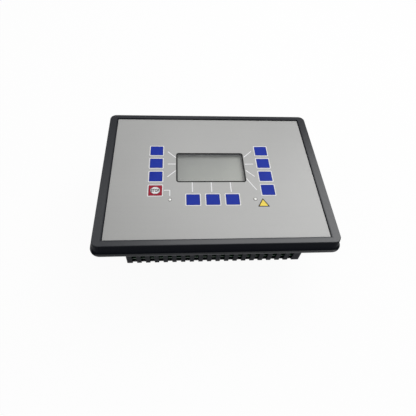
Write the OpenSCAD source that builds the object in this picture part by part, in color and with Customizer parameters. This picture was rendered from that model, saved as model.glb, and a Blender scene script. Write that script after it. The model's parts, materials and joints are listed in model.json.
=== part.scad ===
// Panel-mount controller for a generator set, lying on its back with its face up.
// X runs along the face, Y up the face, Z out of the face; z = 0 is the rear face it rests on.

/* [Overall] */
// Depth from the rear face to the rim
total_depth = 99; // [94:1:112]
// Width of the bezel
bezel_w = 282; // [270:1:300]
// Height of the bezel
bezel_h = 217; // [205:1:235]
// Bezel beyond the panel cut-out at the left and right
lap_w = 16.5; // [16:0.1:20]
// Bezel beyond the panel cut-out above and below
lap_h = 17; // [16.5:0.1:20]
// Play of the housing in the cut-out, each side
cutout_play = 1; // [0.5:0.1:2]

/* [Bezel] */
// Height of the bezel in front of the panel
bezel_t = 15.8; // [14:0.1:18]
// Corner radius of the bezel's rear edge
bezel_corner = 12; // [10:0.5:15]
// Width of the flared lip
lip_out = 2.2; // [1:0.1:3]
// Height of the flared lip
lip_h = 1.5; // [1.2:0.1:3]
// Thickness of the lip at its edge
lip_edge = 0.9; // [0.4:0.1:1.2]
// Lean of the wall between the lip and the rim
wall_lean = 1.8; // [0:0.1:4]
// Rounding of the rim's outer edge
rim_round = 0.8; // [0.6:0.1:2.6]
// Thickness of the front plate
plate_t = 3; // [2.5:0.1:4]
// Width of the ledge that the housing's front edge meets
ledge = 5.5; // [4:0.1:7]
// Depth that the housing is let into the bezel
spigot = 1.5; // [1:0.1:2.5]
// Play of the housing in the bezel, each side
spigot_play = 0.2; // [0.1:0.05:0.4]
// Corner radius of the opening in the bezel's back
cavity_corner = 4; // [1:0.5:8]

/* [Foil] */
// Width of the bezel at the left and right of the foil
margin_w = 15.2; // [13:0.1:18]
// Width of the bezel above and below the foil
margin_h = 11.8; // [10.5:0.1:15]
// Thickness of the foil
foil_t = 0.5; // [0.3:0.1:0.8]
// Depth of the foil's face below the rim
foil_recess = 1.2; // [0.4:0.1:1.5]
// Corner radius of the foil
foil_corner = 1; // [0.5:0.5:6]
// Gap round the foil
foil_gap = 0.6; // [0.2:0.1:0.8]

/* [Display] */
// Width of the display opening in the foil
window_w = 85.7; // [76:0.1:92]
// Height of the display opening in the foil
window_h = 48.3; // [40:0.1:52]
// Height of the display centre above the face centre
window_y = 7.9; // [5:0.1:10]
// Corner radius of the display opening
window_corner = 2.6; // [1.6:0.1:5]
// Plate edge that shows round the display
window_border = 1; // [0.5:0.1:1.5]
// Thickness of the plate's edge in front of the pane
pane_lip = 1.2; // [0.8:0.1:1.4]
// Thickness of the clear pane
pane_t = 1.5; // [1:0.1:1.6]
// Overlap of the pane behind the plate's edge
pane_lap = 3; // [2:0.5:5]
// Gap round the pane
pane_gap = 0.2; // [0.1:0.1:0.4]
// Width of the display module
lcd_w = 104; // [100:1:108]
// Height of the display module
lcd_h = 66; // [62:1:68]
// Depth of the display module's metal frame
lcd_t = 7; // [5:0.5:8]
// Sheet thickness of the display module's frame
lcd_sheet = 1; // [0.6:0.1:1.5]
// Play of the display cell in its frame
lcd_play = 0.3; // [0.1:0.1:0.5]
// Margin of the module's board round its frame
lcd_margin = 3; // [2:0.5:4]

/* [Keys] */
// Offset of the key field from the bezel's centre
face_x = -3.5; // [-5:0.1:2]
// Width of a key
key_w = 15.7; // [13:0.1:17]
// Height of a key
key_h = 15.3; // [13:0.1:17]
// Corner radius of a key
key_corner = 0.9; // [0.4:0.1:2]
// Distance between the two key columns
column_span = 136.2; // [132:0.2:142]
// Height of the top keys above the face centre
column_y = 36.3; // [34:0.1:39]
// Pitch of the keys in a column
column_pitch = 21.8; // [21:0.1:23.5]
// Pitch of the keys in the bottom row
row_pitch = 23.5; // [21.5:0.1:25]
// Height of the bottom row from the face centre
row_y = -43.2; // [-45:0.1:-42.5]
// Gap round a key
key_gap = 0.3; // [0.2:0.05:0.5]
// Travel of a key
key_travel = 0.5; // [0.3:0.05:0.8]
// Room left over the switch at full travel
key_spare = 0.1; // [0.05:0.05:0.3]
// Height of a key's face above the foil
key_proud = 0.1; // [0:0.05:0.3]
// Overhang of the collar that keeps a key in
collar_out = 1.6; // [1:0.1:2]
// Thickness of that collar
collar_t = 1.2; // [0.8:0.1:2]
// Diameter of a key's stem
stem_d = 5; // [3:0.1:7]
// Length of a key's stem
stem_len = 3.5; // [2.5:0.1:4.5]
// Side of a switch body
switch_w = 6; // [4:0.1:8]
// Height of a switch body
switch_body = 3.5; // [2.5:0.1:4]
// Height of a switch with its actuator
switch_h = 5; // [4.5:0.1:6]
// Diameter of a switch actuator
actuator_d = 3.5; // [2:0.1:4.5]

/* [Lamps] */
// Distance between the two lamps
lamp_span = 101.4; // [100:0.2:106]
// Height of the lamps from the face centre
lamp_y = -43; // [-46:0.2:-42]
// Diameter of a lamp lens
lamp_d = 4.3; // [3:0.1:6]
// Height of a lens above the foil
lamp_proud = 0.5; // [0.2:0.1:0.7]
// Gap round a lens
lamp_gap = 0.2; // [0.1:0.05:0.4]
// Diameter of the light guide behind a lens
guide_d = 3; // [2:0.1:3.5]
// Height of a lamp diode
led_h = 1.5; // [1:0.1:2]

/* [Boards] */
// Thickness of the circuit boards
board_t = 1.6; // [1:0.1:2]
// Width of the keypad board
keypad_w = 196; // [190:1:204]
// Height of the keypad board
keypad_h = 134; // [130:1:140]
// Inset of the board screws from a board's edge
screw_inset = 6; // [5:0.5:7]
// Play of the rear board in the housing
board_play = 0.8; // [0.5:0.1:1.5]
// Height of the posts under the rear board
post_h = 4; // [3:0.5:6]
// Diameter of the posts and screw bosses
post_d = 7; // [6:0.5:8]
// Distance of the posts from the housing's ends
post_inset = 11.5; // [9:0.5:14]
// Distance of the posts from the corner recesses
post_drop = 16; // [12:0.5:20]
// Width of the processor board
processor_w = 164; // [158:1:176]
// Height of the processor board
processor_h = 108; // [104:1:120]
// Length of the pillars under the processor board
pillar_len = 14; // [12:0.5:17]
// Width across the flats of a pillar
pillar_af = 5.5; // [5:0.5:7]
// Width of a ribbon header
header_w = 46; // [30:1:56]
// Depth of a ribbon header
header_d = 9; // [7:0.5:11]
// Height of a ribbon header
header_h = 9; // [7:0.5:9.5]
// Thickness of the ribbon cable
ribbon_t = 1; // [0.6:0.1:1.5]
// Sideways step of the ribbon cable
ribbon_step = 22; // [18:1:30]
// Largest bend radius of the ribbon cable
ribbon_bend = 5; // [3:0.5:7]

/* [Housing] */
// Depth of the housing's main box behind the panel
box_depth = 53.2; // [50:0.1:56]
// Thickness of the housing's walls
wall = 2.5; // [2:0.1:3]
// Side of the recess at each corner of the box
recess = 15.4; // [14:0.1:17]
// Corner radius of the box
box_corner = 2; // [0.5:0.5:3]
// Rounding of the box's rear edges
edge_round = 2.5; // [1:0.1:3]
// Thickness of the screw ears in the recesses
ear_t = 3; // [2:0.5:5]
// Width of the bay for the ports at each end of the raised part
port_bay = 28.5; // [27:0.5:32]
// Width of the bay for the terminals above and below the raised part
terminal_bay = 34.5; // [34:0.5:36]
// Corner radius of the raised part
hump_corner = 8; // [5:0.5:14]
// Rounding of its rear edge
hump_round = 3; // [1:0.5:4]

/* [Vents] */
// Number of slots in the upper and in the lower wall
vent_count = 19; // [11:2:19]
// Distance of the outer slots from the corner recesses
vent_margin = 8.4; // [6:0.01:14]
// Width of a slot
vent_w = 5.5; // [3:0.1:7]
// Offset of the slots from the centre line
vent_x = -1.4; // [-3:0.1:3]
// Depth that a slot runs on behind the wall
vent_bite = 0.2; // [0.2:0.1:0.7]
// Length of a slot from the rear edge
vent_len = 33; // [20:1:40]

/* [Terminals] */
// Poles of one terminal block
poles = 12; // [8:1:12]
// Pitch of the poles
pole_pitch = 5.08; // [5:0.01:5.12]
// Blocks in each of the two rows
blocks = 3; // [2:1:3]
// Pitch of the blocks
block_pitch = 67; // [66:0.5:68]
// Distance of the rows from the raised part
terminal_gap = 12.5; // [11:0.5:14]
// Depth of a header across the row
socket_d = 12.2; // [11:0.1:13]
// Height of a header over the board
socket_h = 12; // [10:0.5:13]
// Wall of a header
socket_wall = 1.3; // [1:0.1:1.6]
// Depth of a header's cavity
socket_cavity = 9; // [7:0.5:9.5]
// Depth of a plug across the row
plug_d = 14; // [12.5:0.5:15]
// Length of a plug behind its header
plug_len = 12.5; // [10:0.5:15]
// Play of a plug in its header
plug_play = 0.25; // [0.15:0.05:0.35]
// Width of a wire entry
wire_w = 3.6; // [2.5:0.1:4.2]
// Height of a wire entry
wire_h = 4.4; // [3:0.1:6]
// Depth of a wire entry
wire_depth = 7; // [4:0.5:9]
// Bevel along the wire side of a plug
plug_bevel = 2.5; // [1:0.1:3]
// Diameter of a screw opening in a plug
screw_port = 3.4; // [2.5:0.1:4]
// Depth of a screw opening
screw_port_depth = 3.6; // [2:0.1:4]
// Play of a header or port in its window
window_play = 0.4; // [0.2:0.1:0.6]

/* [Ports] */
// Distance of the ports from the housing's ends
port_inset = 15; // [13:0.5:17]
// Distance between the ports of one side
port_pitch = 46; // [38:1:56]
// Long side of a port shell
port_long = 17; // [15:0.1:18]
// Short side of a port shell
port_short = 8.4; // [7.5:0.1:9]
// Slant of a port shell's ends
port_slant = 1.4; // [0.5:0.1:2]
// Length of a port shell behind its flange
port_len = 8; // [6:0.5:10]
// Sheet thickness of a port shell
port_sheet = 0.6; // [0.4:0.1:0.8]
// Length of a port's flange
flange_long = 31; // [28:0.5:33]
// Width of a port's flange
flange_short = 12.4; // [11.5:0.1:13]
// Thickness of a port's flange
flange_t = 1; // [0.6:0.1:1.5]
// Margin of a port's moulded body round its shell
body_margin = 1; // [0.5:0.1:1.5]

/* [Inside] */
// Side of the processor
processor_chip = 27; // [20:1:32]
// Side of the memory chips
memory_chip = 14; // [10:1:16]
// Side of the driver chips
driver_chip = 12; // [8:1:16]
// Distance of the smaller chips from the processor's middle
chip_span = 34; // [30:1:38]
// Pitch of the smaller chips
chip_pitch = 20; // [17:1:24]
// Height of the chips
chip_h = 2.4; // [1:0.1:4]
// Diameter of the battery cell
cell_d = 20; // [16:1:22]
// Thickness of the battery cell
cell_t = 3; // [2:0.1:5]
// Height of the battery holder
holder_h = 3; // [2:0.5:5]
// Margin of the battery holder beyond the cell
holder_margin = 1; // [0.5:0.1:2]
// Distance of the battery from the centre line
battery_x = 58; // [54:1:62]
// Width of a relay
relay_w = 20; // [15:0.5:21]
// Depth of a relay
relay_d = 16; // [12:0.5:18]
// Height of a relay
relay_h = 15.5; // [12:0.5:20]
// Gap between relays along the row
relay_gap_w = 4; // [2:0.5:5]
// Gap between the rows of relays
relay_gap_d = 6; // [4:0.5:8]
// Distance of the relays' middle left of the centre line
relay_left = 8; // [6:0.5:9]
// Width of a transformer core
core_w = 25; // [20:0.5:27]
// Depth of a transformer core
core_d = 22; // [18:0.5:24]
// Height of a transformer core
core_h = 20; // [16:0.5:24]
// Gap between the transformers
core_gap = 6; // [3:0.5:8]
// Diameter of a transformer's coil
coil_d = 14; // [10:0.5:16]
// Height of the coil beyond the core
coil_proud = 2; // [1:0.5:4]
// Distance of the transformers left of the centre line
transformer_left = 63; // [61:0.5:65]
// Diameter of a capacitor
can_d = 12.5; // [8:0.5:14]
// Length of a capacitor
can_len = 21; // [16:0.5:25]
// Pitch of the capacitors
can_pitch = 19; // [15:0.5:22]
// Distance of the capacitors right of the centre line
can_right = 42; // [40:0.5:46]
// Width of the power converter
converter_w = 22; // [18:0.5:24]
// Depth of the power converter
converter_d = 40; // [30:0.5:44]
// Height of the power converter
converter_h = 16; // [12:0.5:20]
// Diameter of the choke
choke_d = 18; // [14:0.5:20]
// Gap between the converter and the choke
choke_gap = 9; // [4:0.5:10]
// Distance of the converter right of the centre line
converter_right = 66; // [64:0.5:68]
// Distance of the converter below the centre line
converter_drop = 16; // [12:0.5:20]
// Width of the pin rows of the stacking connector
pin_rows_d = 6; // [4:0.5:7]
// Width of the socket of the stacking connector
socket_rows_d = 8; // [7.5:0.5:10]

/* [Fasteners] */
// Distance of the nut inserts from the bezel's edge
insert_inset = 10.6; // [10:0.1:11]
// Outer diameter of a nut insert
insert_d = 5.6; // [5:0.1:6]
// Core diameter of the thread in a nut insert
insert_bore = 3.3; // [2.5:0.1:4]
// Length of a nut insert
insert_len = 8; // [6:0.5:10]
// Play of a nut insert in its hole
insert_play = 0.1; // [0.05:0.05:0.2]
// Distance of the end inserts of the long sides from the centre line
insert_far = 94; // [88:1:98]
// Distance of the middle inserts of the long sides from the centre line
insert_near = 32; // [28:1:36]
// Distance of the inserts of the short sides from the centre line
insert_side = 62; // [54:1:68]
// Diameter of the screw shanks
screw_d = 2.8; // [2.2:0.1:2.9]
// Play of a screw in its hole
screw_play = 0.1; // [0.05:0.05:0.2]
// Diameter of the screw heads
head_d = 5.5; // [4.5:0.1:6.5]
// Height of the screw heads
head_h = 2; // [1.4:0.1:2.6]

/* [Gasket] */
// Width of the panel gasket
gasket_w = 3; // [2:0.1:3.2]
// Distance of the gasket from the bezel's edge
gasket_inset = 3.2; // [3:0.1:3.4]
// Depth of the gasket's groove
groove_depth = 1.5; // [1:0.1:2.5]
// Height of the gasket above the groove
gasket_proud = 0.5; // [0.2:0.1:1]
// Play of the gasket in its groove
gasket_play = 0.1; // [0.05:0.05:0.2]
// Width of the moulding pockets in the bezel's back
pocket_w = 6.5; // [4:0.5:7]
// Depth of the moulding pockets
pocket_depth = 9; // [5:0.5:11]
// Material left between a pocket and an insert's axis
pocket_margin = 7; // [6:0.5:10]

/* [Hidden] */
$fn = 64;
over = 1;

// Levels from the rim down to the keypad board
seat_z = total_depth - bezel_t;
foil_top = total_depth - foil_recess;
plate_top = foil_top - foil_t;
plate_rear = plate_top - plate_t;
pane_top = plate_top - pane_lip;
collar_top = plate_rear - key_gap;
stem_end = collar_top - collar_t - stem_len;
keypad_front = stem_end - key_travel - key_spare - switch_h;
keypad_rear = keypad_front - board_t;
lcd_rear = plate_rear - lcd_t;

// Levels from the housing's rear wall up to the processor board
step_z = seat_z - box_depth;
floor_z = step_z + wall;
io_rear = floor_z + post_h;
io_front = io_rear + board_t;
processor_rear = io_front + pillar_len;
processor_front = processor_rear + board_t;

// Housing plan: a box with a square recess at each corner
housing_w = bezel_w - 2 * lap_w - 2 * cutout_play;
housing_h = bezel_h - 2 * lap_h - 2 * cutout_play;
front_z = seat_z + spigot;
hump_w = housing_w - 2 * port_bay;
hump_h = housing_h - 2 * terminal_bay;
vent_pitch = (housing_w - 2 * recess - 2 * vent_margin - vent_w) / (vent_count - 1);
ear_x = (housing_w - recess) / 2;
ear_y = (housing_h - recess) / 2;
ear_boss = recess - 2 * cutout_play;

// Opening in the bezel's back, and the foil in its front
cavity_w = housing_w - 2 * ledge;
cavity_h = housing_h - 2 * ledge;
foil_w = bezel_w - 2 * margin_w;
foil_h = bezel_h - 2 * margin_h;

// Display opening in the plate
opening_w = window_w - 2 * window_border;
opening_h = window_h - 2 * window_border;
opening_corner = window_corner - window_border;
pane_w = opening_w + 2 * pane_lap;
pane_h = opening_h + 2 * pane_lap;

// Places of keys, lamps, screws and inserts
left_keys = [for (i = [0:3]) [face_x - column_span / 2, column_y - i * column_pitch]];
right_keys = [for (i = [0:3]) [face_x + column_span / 2, column_y - i * column_pitch]];
bottom_keys = [for (i = [-1:1]) [face_x + i * row_pitch, row_y]];
keys = concat(left_keys, right_keys, bottom_keys);
lamps = [for (side = [-1, 1]) [face_x + side * lamp_span / 2, lamp_y]];
keypad_points = [
  for (ix = [-1, 0, 1], iy = [-1, 1])
    [face_x + ix * (keypad_w / 2 - screw_inset), iy * (keypad_h / 2 - screw_inset)]
];
post_x = housing_w / 2 - post_inset;
post_y = housing_h / 2 - recess - post_drop;
post_points = [for (ix = [-1, 1], iy = [-1, 1]) [ix * post_x, iy * post_y]];
pillar_points = [
  for (ix = [-1, 1], iy = [-1, 1])
    [ix * (processor_w / 2 - screw_inset), iy * (processor_h / 2 - screw_inset)]
];
lcd_points = [
  for (ix = [-1, 1], iy = [-1, 1])
    [face_x + ix * (lcd_w / 2 - lcd_margin), window_y + iy * (lcd_h / 2 - lcd_margin)]
];
ear_points = [for (ix = [-1, 1], iy = [-1, 1]) [ix * ear_x, iy * ear_y]];
long_inserts = [
  for (x = [-insert_far, -insert_near, insert_near, insert_far], side = [-1, 1])
    [x, side * (bezel_h / 2 - insert_inset)]
];
side_inserts = [
  for (side = [-1, 1], y = [-insert_side, insert_side]) [side * (bezel_w / 2 - insert_inset), y]
];
inserts = concat(long_inserts, side_inserts);
hole_d = screw_d + 2 * screw_play;
block_len = poles * pole_pitch + 2 * socket_wall;
terminal_y = hump_h / 2 + terminal_gap;
block_points = [
  for (i = [0:blocks - 1], side = [-1, 1])
    [(i - (blocks - 1) / 2) * block_pitch, side * terminal_y]
];
port_x = housing_w / 2 - port_inset;
port_points = [for (ix = [-1, 1], iy = [-1, 1]) [ix * port_x, iy * port_pitch / 2]];

// Ribbon cable between the two headers
ribbon_low = processor_front + header_h;
ribbon_high = keypad_rear - header_h;
ribbon_gap = ribbon_high - ribbon_low;
ribbon_r = min(ribbon_bend, ribbon_gap / 2 - ribbon_t);
ribbon_mid = (ribbon_low + ribbon_high) / 2;

// Colours
black_plastic = [0.11, 0.11, 0.12];
dark_plastic = [0.16, 0.16, 0.17];
foil_grey = [0.68, 0.68, 0.68];
key_blue = [0.13, 0.19, 0.55];
stop_red = [0.68, 0.12, 0.18];
board_green = [0.08, 0.32, 0.18];
steel = [0.72, 0.73, 0.75];
brass = [0.78, 0.62, 0.30];

module rounded_rect(w, h, r) {
  square([w - 2 * r, h], center = true);
  square([w, h - 2 * r], center = true);
  for (ix = [-1, 1], iy = [-1, 1])
    translate([ix * (w / 2 - r), iy * (h / 2 - r)]) circle(r);
}

module slab(w, h, r, low, high) {
  translate([0, 0, low]) linear_extrude(high - low) rounded_rect(w, h, r);
}

module block(w, h, low, high) {
  translate([-w / 2, -h / 2, low]) cube([w, h, high - low]);
}

module rod(d, low, high) {
  translate([0, 0, low]) cylinder(d = d, h = high - low);
}

module at(points) {
  for (p = points) translate([p[0], p[1], 0]) children();
}

// Carries a profile round a rounded rectangle; x = r in the profile is the outer edge
module edge_sweep(w, h, r) {
  for (side = [0, 180]) {
    rotate([0, 0, side]) translate([w / 2 - r, 0, 0])
      rotate([90, 0, 0]) linear_extrude(h - 2 * r, center = true) children();
    rotate([0, 0, side + 90]) translate([h / 2 - r, 0, 0])
      rotate([90, 0, 0]) linear_extrude(w - 2 * r, center = true) children();
    rotate([0, 0, side]) translate([w / 2 - r, h / 2 - r, 0])
      rotate_extrude(angle = 90) children();
    rotate([0, 0, side + 90]) translate([h / 2 - r, w / 2 - r, 0])
      rotate_extrude(angle = 90) children();
  }
}

// What is cut from a square corner to leave a round one, with the corner at the origin
module corner_cut(r) {
  difference() {
    translate([-r, -over]) square([r + over, r + over]);
    translate([-r, r]) circle(r);
  }
}

// Section of the bezel's edge: flared lip, leaning wall and rounded rim
module bezel_profile() {
  foot_x = bezel_corner - lip_out;
  rim_x = foot_x - wall_lean;
  rim_z = bezel_t - rim_round;
  polygon([
    [0, 0], [bezel_corner, 0], [bezel_corner, lip_edge], [foot_x, lip_h],
    [rim_x, rim_z], [rim_x - rim_round, bezel_t], [0, bezel_t]
  ]);
  translate([rim_x - rim_round, rim_z]) circle(rim_round);
}

module bezel_block() {
  translate([0, 0, seat_z]) {
    edge_sweep(bezel_w, bezel_h, bezel_corner) bezel_profile();
    block(bezel_w - 2 * bezel_corner, bezel_h - 2 * bezel_corner, 0, bezel_t);
  }
}

module key_openings(low, high) {
  at(keys) slab(key_w + 2 * key_gap, key_h + 2 * key_gap, key_corner + key_gap, low, high);
}

module lamp_openings(low, high) {
  at(lamps) rod(lamp_d + 2 * lamp_gap, low, high);
}

// Pockets between the inserts, which keep the moulding's walls even
module core_pockets() {
  spans = [
    [-(insert_far + insert_near) / 2, insert_far - insert_near],
    [0, 2 * insert_near],
    [(insert_far + insert_near) / 2, insert_far - insert_near]
  ];
  for (side = [-1, 1]) {
    for (s = spans)
      translate([s[0], side * (bezel_h / 2 - insert_inset), 0])
        block(s[1] - 2 * pocket_margin, pocket_w, seat_z - over, seat_z + pocket_depth);
    for (iy = [-1, 1])
      translate([side * (bezel_w / 2 - insert_inset), iy * insert_side / 2, 0])
        block(pocket_w, insert_side - 2 * pocket_margin, seat_z - over, seat_z + pocket_depth);
  }
}

module gasket_ring(play, low, high) {
  outer_inset = gasket_inset - play;
  inner_inset = gasket_inset + gasket_w + play;
  translate([0, 0, low]) linear_extrude(high - low) difference() {
    rounded_rect(bezel_w - 2 * outer_inset, bezel_h - 2 * outer_inset, bezel_corner - outer_inset);
    rounded_rect(bezel_w - 2 * inner_inset, bezel_h - 2 * inner_inset, bezel_corner - inner_inset);
  }
}

module front_bezel() {
  color(black_plastic) difference() {
    union() {
      difference() {
        bezel_block();
        slab(cavity_w, cavity_h, cavity_corner, seat_z - over, plate_rear);
      }
      at(ear_points) rod(ear_boss, front_z, plate_top);
      at(keypad_points) rod(post_d, keypad_front, plate_top);
    }
    slab(foil_w + 2 * foil_gap, foil_h + 2 * foil_gap, foil_corner + foil_gap, plate_top, total_depth + over);
    slab(housing_w + 2 * spigot_play, housing_h + 2 * spigot_play, box_corner + spigot_play,
      seat_z - over, front_z);
    translate([face_x, window_y, 0]) {
      slab(opening_w, opening_h, opening_corner, plate_rear - over, plate_top + over);
      slab(pane_w + 2 * pane_gap, pane_h + 2 * pane_gap, opening_corner, plate_rear - over, pane_top);
    }
    key_openings(plate_rear - over, plate_top + over);
    lamp_openings(plate_rear - over, plate_top + over);
    at(inserts) rod(insert_d + 2 * insert_play, seat_z - over, seat_z + insert_len);
    core_pockets();
    gasket_ring(gasket_play, seat_z - over, seat_z + groove_depth);
    at(ear_points) rod(hole_d, seat_z - over, plate_rear - over);
    at(keypad_points) rod(hole_d, keypad_front - over, plate_rear - over);
  }
}

module front_foil() {
  color(foil_grey) difference() {
    slab(foil_w, foil_h, foil_corner, plate_top, foil_top);
    translate([face_x, window_y, 0])
      slab(window_w, window_h, window_corner, plate_top - over, foil_top + over);
    key_openings(plate_top - over, foil_top + over);
    lamp_openings(plate_top - over, foil_top + over);
  }
}

module display_window() {
  color([0.8, 0.85, 0.85, 0.4])
    translate([face_x, window_y, 0]) slab(pane_w, pane_h, opening_corner, pane_top - pane_t, pane_top);
}

// A key: printed face, collar that keeps it in, and stem over its switch
module key(place, tint) {
  color(tint) translate([place[0], place[1], 0]) {
    slab(key_w, key_h, key_corner, collar_top - collar_t, foil_top + key_proud);
    slab(key_w + 2 * collar_out, key_h + 2 * collar_out, key_corner, collar_top - collar_t, collar_top);
    rod(stem_d, stem_end, collar_top);
  }
}

module key_left_1() { key(left_keys[0], key_blue); }
module key_left_2() { key(left_keys[1], key_blue); }
module key_left_3() { key(left_keys[2], key_blue); }
module key_stop() { key(left_keys[3], stop_red); }
module key_right_1() { key(right_keys[0], key_blue); }
module key_right_2() { key(right_keys[1], key_blue); }
module key_right_3() { key(right_keys[2], key_blue); }
module key_right_4() { key(right_keys[3], key_blue); }
module key_bottom_1() { key(bottom_keys[0], key_blue); }
module key_bottom_2() { key(bottom_keys[1], key_blue); }
module key_bottom_3() { key(bottom_keys[2], key_blue); }

// Domed lens with a collar behind the plate and a light guide down to its diode
module status_lamps() {
  dome_r = (lamp_d * lamp_d / 4 + lamp_proud * lamp_proud) / (2 * lamp_proud);
  color([0.92, 0.93, 0.93]) at(lamps) {
    rotate_extrude() intersection() {
      translate([0, foil_top + lamp_proud - dome_r]) circle(dome_r);
      translate([0, foil_top]) square([lamp_d / 2, lamp_proud]);
    }
    rod(lamp_d, plate_rear - collar_t, foil_top);
    rod(lamp_d + 2 * collar_out, plate_rear - collar_t, plate_rear);
    rod(guide_d, keypad_front + led_h + lamp_gap, plate_rear);
  }
}

module lamp_leds() {
  color([0.95, 0.94, 0.85]) at(lamps) block(guide_d, guide_d, keypad_front, keypad_front + led_h);
}

module lcd_frame() {
  color(steel) translate([face_x, window_y, 0]) difference() {
    block(lcd_w, lcd_h, lcd_rear, plate_rear);
    block(lcd_w - 2 * lcd_sheet, lcd_h - 2 * lcd_sheet, lcd_rear - over, plate_rear - lcd_sheet);
    block(window_w, window_h, lcd_rear - over, plate_rear + over);
  }
}

module lcd_cell() {
  side_play = lcd_sheet + lcd_play;
  color([0.62, 0.64, 0.60]) translate([face_x, window_y, 0])
    block(lcd_w - 2 * side_play, lcd_h - 2 * side_play, lcd_rear, plate_rear - lcd_sheet);
}

module lcd_board() {
  color(board_green) translate([face_x, window_y, 0])
    block(lcd_w + 2 * lcd_margin, lcd_h + 2 * lcd_margin, lcd_rear - board_t, lcd_rear);
}

module lcd_spacers() {
  color(steel) at(lcd_points) difference() {
    rod(pillar_af, keypad_front, lcd_rear - board_t);
    rod(hole_d, keypad_front - over, lcd_rear);
  }
}

module keypad_board() {
  color(board_green) difference() {
    translate([face_x, 0, 0]) block(keypad_w, keypad_h, keypad_rear, keypad_front);
    at(keypad_points) rod(hole_d, keypad_rear - over, keypad_front + over);
  }
}

module key_switches() {
  color(dark_plastic) at(keys) {
    block(switch_w, switch_w, keypad_front, keypad_front + switch_body);
    rod(actuator_d, keypad_front, keypad_front + switch_h);
  }
}

// A screw whose head lies on z = 0 and whose shank runs up
module screw(shank_len) {
  rod(head_d, -head_h, 0);
  rod(screw_d, -head_h, shank_len);
}

module keypad_screws() {
  shank = plate_rear - over - keypad_rear - screw_play;
  color(steel) at(keypad_points) translate([0, 0, keypad_rear]) screw(shank);
}

// Plan of the box, drawn in by an inset
module box_plan(inset) {
  r = max(box_corner - inset, 0.2);
  rounded_rect(housing_w - 2 * inset, housing_h - 2 * recess - 2 * inset, r);
  rounded_rect(housing_w - 2 * recess - 2 * inset, housing_h - 2 * inset, r);
}

module box_prism(inset, low, high) {
  translate([0, 0, low]) linear_extrude(high - low) box_plan(inset);
}

// Long cut that rounds a rear edge of the box, at a distance from the middle
module rear_edge_cut(distance, length) {
  for (side = [0, 180])
    rotate([0, 0, side]) translate([distance, 0, step_z])
      rotate([90, 0, 0]) linear_extrude(length, center = true) corner_cut(edge_round);
}

// One slot that runs down the wall and out over its rear edge
module vent() {
  straight = vent_len - vent_w / 2;
  depth = wall + vent_bite + over;
  translate([-vent_w / 2, housing_h / 2 + over - depth, step_z - over]) cube([vent_w, depth, straight + over]);
  translate([0, housing_h / 2 + over, step_z + straight])
    rotate([90, 0, 0]) cylinder(d = vent_w, h = depth);
}

module vents() {
  for (side = [0, 180], i = [0:vent_count - 1])
    translate([vent_x, 0, 0]) rotate([0, 0, side])
      translate([(i - (vent_count - 1) / 2) * vent_pitch, 0, 0]) vent();
}

module port_plan(grow) {
  long = port_long / 2 + grow;
  short = port_short / 2 + grow;
  polygon([[-short, -long], [short, port_slant - long], [short, long - port_slant], [-short, long]]);
}

module hump_shell() {
  difference() {
    slab(hump_w, hump_h, hump_corner, 0, floor_z);
    edge_sweep(hump_w, hump_h, hump_corner) translate([hump_corner, 0]) corner_cut(hump_round);
  }
}

// Ears that close the corner recesses at the front, with a screw through each
module screw_ears() {
  side = recess + wall;
  for (ix = [-1, 1], iy = [-1, 1])
    translate([ix * (housing_w - side) / 2, iy * (housing_h - side) / 2, 0])
      slab(side, side, box_corner, seat_z - ear_t, front_z);
}

module rear_housing() {
  color(black_plastic) difference() {
    union() {
      difference() {
        union() {
          box_prism(0, step_z, front_z);
          hump_shell();
        }
        box_prism(wall, floor_z, front_z + over);
        slab(hump_w - 2 * wall, hump_h - 2 * wall, hump_corner - wall, wall, floor_z + over);
        rear_edge_cut(housing_w / 2, housing_h);
        rotate([0, 0, 90]) rear_edge_cut(housing_h / 2, housing_w);
      }
      screw_ears();
      at(post_points) rod(post_d, floor_z - wall / 2, io_rear);
    }
    vents();
    at(block_points)
      block(block_len + 2 * window_play, socket_d + 2 * window_play, step_z - over, floor_z + over);
    for (p = port_points)
      translate([p[0], p[1], step_z - over]) linear_extrude(wall + 2 * over) port_plan(window_play);
    at(ear_points) rod(hole_d, seat_z - ear_t - over, front_z + over);
    at(post_points) rod(hole_d, floor_z, io_rear + over);
  }
}

module io_board() {
  color(board_green) difference() {
    box_prism(wall + board_play, io_rear, io_front);
    at(post_points) rod(hole_d, io_rear - over, io_front + over);
    at(pillar_points) rod(hole_d, io_rear - over, io_front + over);
  }
}

module io_screws() {
  shank = board_t + post_h - screw_play;
  color(steel) at(post_points) translate([0, 0, io_front]) mirror([0, 0, 1]) screw(shank);
}

module processor_board() {
  color(board_green) difference() {
    block(processor_w, processor_h, processor_rear, processor_front);
    at(pillar_points) rod(hole_d, processor_rear - over, processor_front + over);
  }
}

module board_pillars() {
  color(brass) at(pillar_points) difference() {
    translate([0, 0, io_front]) cylinder(d = pillar_af / cos(30), h = pillar_len, $fn = 6);
    rod(hole_d, io_front - over, processor_rear + over);
  }
}

module pillar_screws() {
  shank = board_t + pillar_len / 2 - over;
  color(steel) at(pillar_points) {
    translate([0, 0, io_rear]) screw(shank);
    translate([0, 0, processor_front]) mirror([0, 0, 1]) screw(shank);
  }
}

// One processor with two memories and two drivers beside it
module processor_chips() {
  color(dark_plastic) translate([0, -ribbon_step / 2, processor_front]) {
    block(processor_chip, processor_chip, 0, chip_h);
    for (side = [-1, 1]) {
      translate([-chip_span, side * chip_pitch / 2, 0]) block(memory_chip, memory_chip, 0, chip_h);
      translate([chip_span, side * chip_pitch / 2, 0]) block(driver_chip, driver_chip, 0, chip_h);
    }
  }
}

module backup_battery() {
  holder_w = cell_d + 2 * holder_margin;
  color(steel) translate([battery_x, -processor_h / 4, processor_front]) {
    block(holder_w, holder_w / 2, 0, holder_h);
    rod(cell_d, holder_h - cell_t / 2, holder_h + cell_t / 2);
  }
}

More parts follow.
